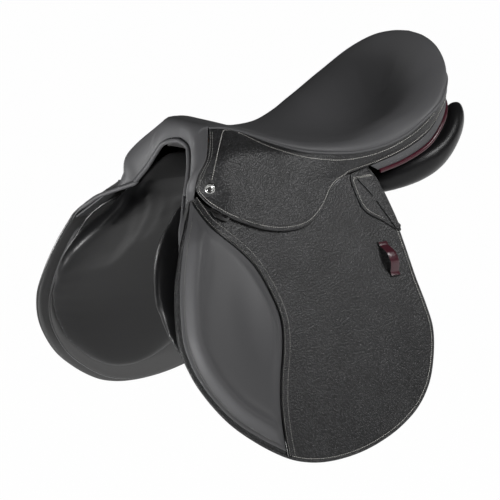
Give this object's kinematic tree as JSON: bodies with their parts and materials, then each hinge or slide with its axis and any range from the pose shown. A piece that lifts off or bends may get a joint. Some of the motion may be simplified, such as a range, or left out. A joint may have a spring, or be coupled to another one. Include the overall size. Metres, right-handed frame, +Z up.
{
  "type": "jumping saddle",
  "caption": "Close-contact English jumping saddle: deep leather seat on a tree, skirts and flaps that lift, stirrup bars, girth billets, flocked panels.",
  "frame": {"origin": "the middle of the gullet channel, level with the underside of the panels at mid-length", "axes": "+X forward to the pommel, +Y to the near (left) side, +Z up"},
  "size_m": [0.4981, 0.458, 0.4711],
  "materials": {
    "smooth_calf": "semi-gloss",
    "grained_leather": "satin",
    "lining_leather": "satin",
    "burgundy_leather": "semi-gloss",
    "strap_leather": "satin",
    "webbing": "matte",
    "foam": "matte",
    "tree_laminate": "satin",
    "spring_steel": "satin",
    "bright_steel": "polished"
  },
  "bodies": {
    "root": {"gullet_lining": "lining_leather", "gullet_plate": "bright_steel", "head_piping": "smooth_calf", "near_billet_guard": "strap_leather", "near_billet_web_front": "webbing", "near_billet_web_rear": "webbing", "near_dee_chape": "strap_leather", "near_flap_patch": "grained_leather", "near_flap_top": "grained_leather", "near_knee_block": "smooth_calf", "near_panel": "smooth_calf", "near_panel_flap": "smooth_calf", "near_saddle_nail": "bright_steel", "near_skirt_corner": "grained_leather", "near_skirt_top": "grained_leather", "near_spring_steel": "spring_steel", "near_stirrup_bar": "bright_steel", "near_sweat_flap": "lining_leather", "near_thigh_block": "smooth_calf", "off_billet_guard": "strap_leather", "off_billet_web_front": "webbing", "off_billet_web_rear": "webbing", "off_dee_chape": "strap_leather", "off_flap_patch": "grained_leather", "off_flap_top": "grained_leather", "off_knee_block": "smooth_calf", "off_panel": "smooth_calf", "off_panel_flap": "smooth_calf", "off_saddle_nail": "bright_steel", "off_skirt_corner": "grained_leather", "off_skirt_top": "grained_leather", "off_spring_steel": "spring_steel", "off_stirrup_bar": "bright_steel", "off_sweat_flap": "lining_leather", "off_thigh_block": "smooth_calf", "pommel_facing": "smooth_calf", "rear_facing": "smooth_calf", "rear_piping": "burgundy_leather", "seat_cover": "smooth_calf", "seat_foam": "foam", "seat_web": "webbing", "tree_frame": "tree_laminate"},
    "near_skirt": {"near_skirt": "grained_leather"},
    "near_flap": {"near_flap": "grained_leather", "near_knee_pad": "smooth_calf", "near_keeper": "burgundy_leather"},
    "near_bar_catch": {"near_bar_catch": "bright_steel"},
    "near_billet_rear": {"near_billet_rear": "strap_leather"},
    "near_billet_middle": {"near_billet_middle": "strap_leather"},
    "near_billet_front": {"near_billet_front": "strap_leather"},
    "off_skirt": {"off_skirt": "grained_leather"},
    "off_flap": {"off_flap": "grained_leather", "off_knee_pad": "smooth_calf", "off_keeper": "burgundy_leather"},
    "off_bar_catch": {"off_bar_catch": "bright_steel"},
    "off_billet_rear": {"off_billet_rear": "strap_leather"},
    "off_billet_middle": {"off_billet_middle": "strap_leather"},
    "off_billet_front": {"off_billet_front": "strap_leather"}
  },
  "joints": [
    {"name": "near_skirt_lift", "type": "hinge", "parent": "root", "child": "near_skirt", "pos_m": [0, 0.10838, 0.0359], "axis": [1, 0, 0], "range_deg": [0, 100]},
    {"name": "near_flap_lift", "type": "hinge", "parent": "root", "child": "near_flap", "pos_m": [0, 0.12843, -0.02029], "axis": [1, 0, 0], "range_deg": [0, 75]},
    {"name": "near_catch_swing", "type": "hinge", "parent": "root", "child": "near_bar_catch", "pos_m": [0.0919, 0.10446, 0.03143], "axis": [0, 0.9145, 0.4047], "range_deg": [0, 80]},
    {"name": "near_billet_rear_swing", "type": "hinge", "parent": "root", "child": "near_billet_rear", "pos_m": [-0.008, 0.11372, -0.01412], "axis": [0, -0.9305, -0.3663], "range_deg": [-4, 1.5]},
    {"name": "near_billet_middle_swing", "type": "hinge", "parent": "root", "child": "near_billet_middle", "pos_m": [0.028, 0.11372, -0.01412], "axis": [0, -0.9305, -0.3663], "range_deg": [-1.5, 1.5]},
    {"name": "near_billet_front_swing", "type": "hinge", "parent": "root", "child": "near_billet_front", "pos_m": [0.064, 0.11372, -0.01412], "axis": [0, -0.9305, -0.3663], "range_deg": [-1.5, 8]},
    {"name": "off_skirt_lift", "type": "hinge", "parent": "root", "child": "off_skirt", "pos_m": [0, -0.10838, 0.0359], "axis": [-1, 0, 0], "range_deg": [0, 100]},
    {"name": "off_flap_lift", "type": "hinge", "parent": "root", "child": "off_flap", "pos_m": [0, -0.12843, -0.02029], "axis": [-1, 0, 0], "range_deg": [0, 75]},
    {"name": "off_catch_swing", "type": "hinge", "parent": "root", "child": "off_bar_catch", "pos_m": [0.0919, -0.10446, 0.03143], "axis": [0, 0.9145, -0.4047], "range_deg": [0, 80]},
    {"name": "off_billet_rear_swing", "type": "hinge", "parent": "root", "child": "off_billet_rear", "pos_m": [-0.008, -0.11372, -0.01412], "axis": [0, -0.9305, 0.3663], "range_deg": [-4, 1.5]},
    {"name": "off_billet_middle_swing", "type": "hinge", "parent": "root", "child": "off_billet_middle", "pos_m": [0.028, -0.11372, -0.01412], "axis": [0, -0.9305, 0.3663], "range_deg": [-1.5, 1.5]},
    {"name": "off_billet_front_swing", "type": "hinge", "parent": "root", "child": "off_billet_front", "pos_m": [0.064, -0.11372, -0.01412], "axis": [0, -0.9305, 0.3663], "range_deg": [-1.5, 8]}
  ]
}
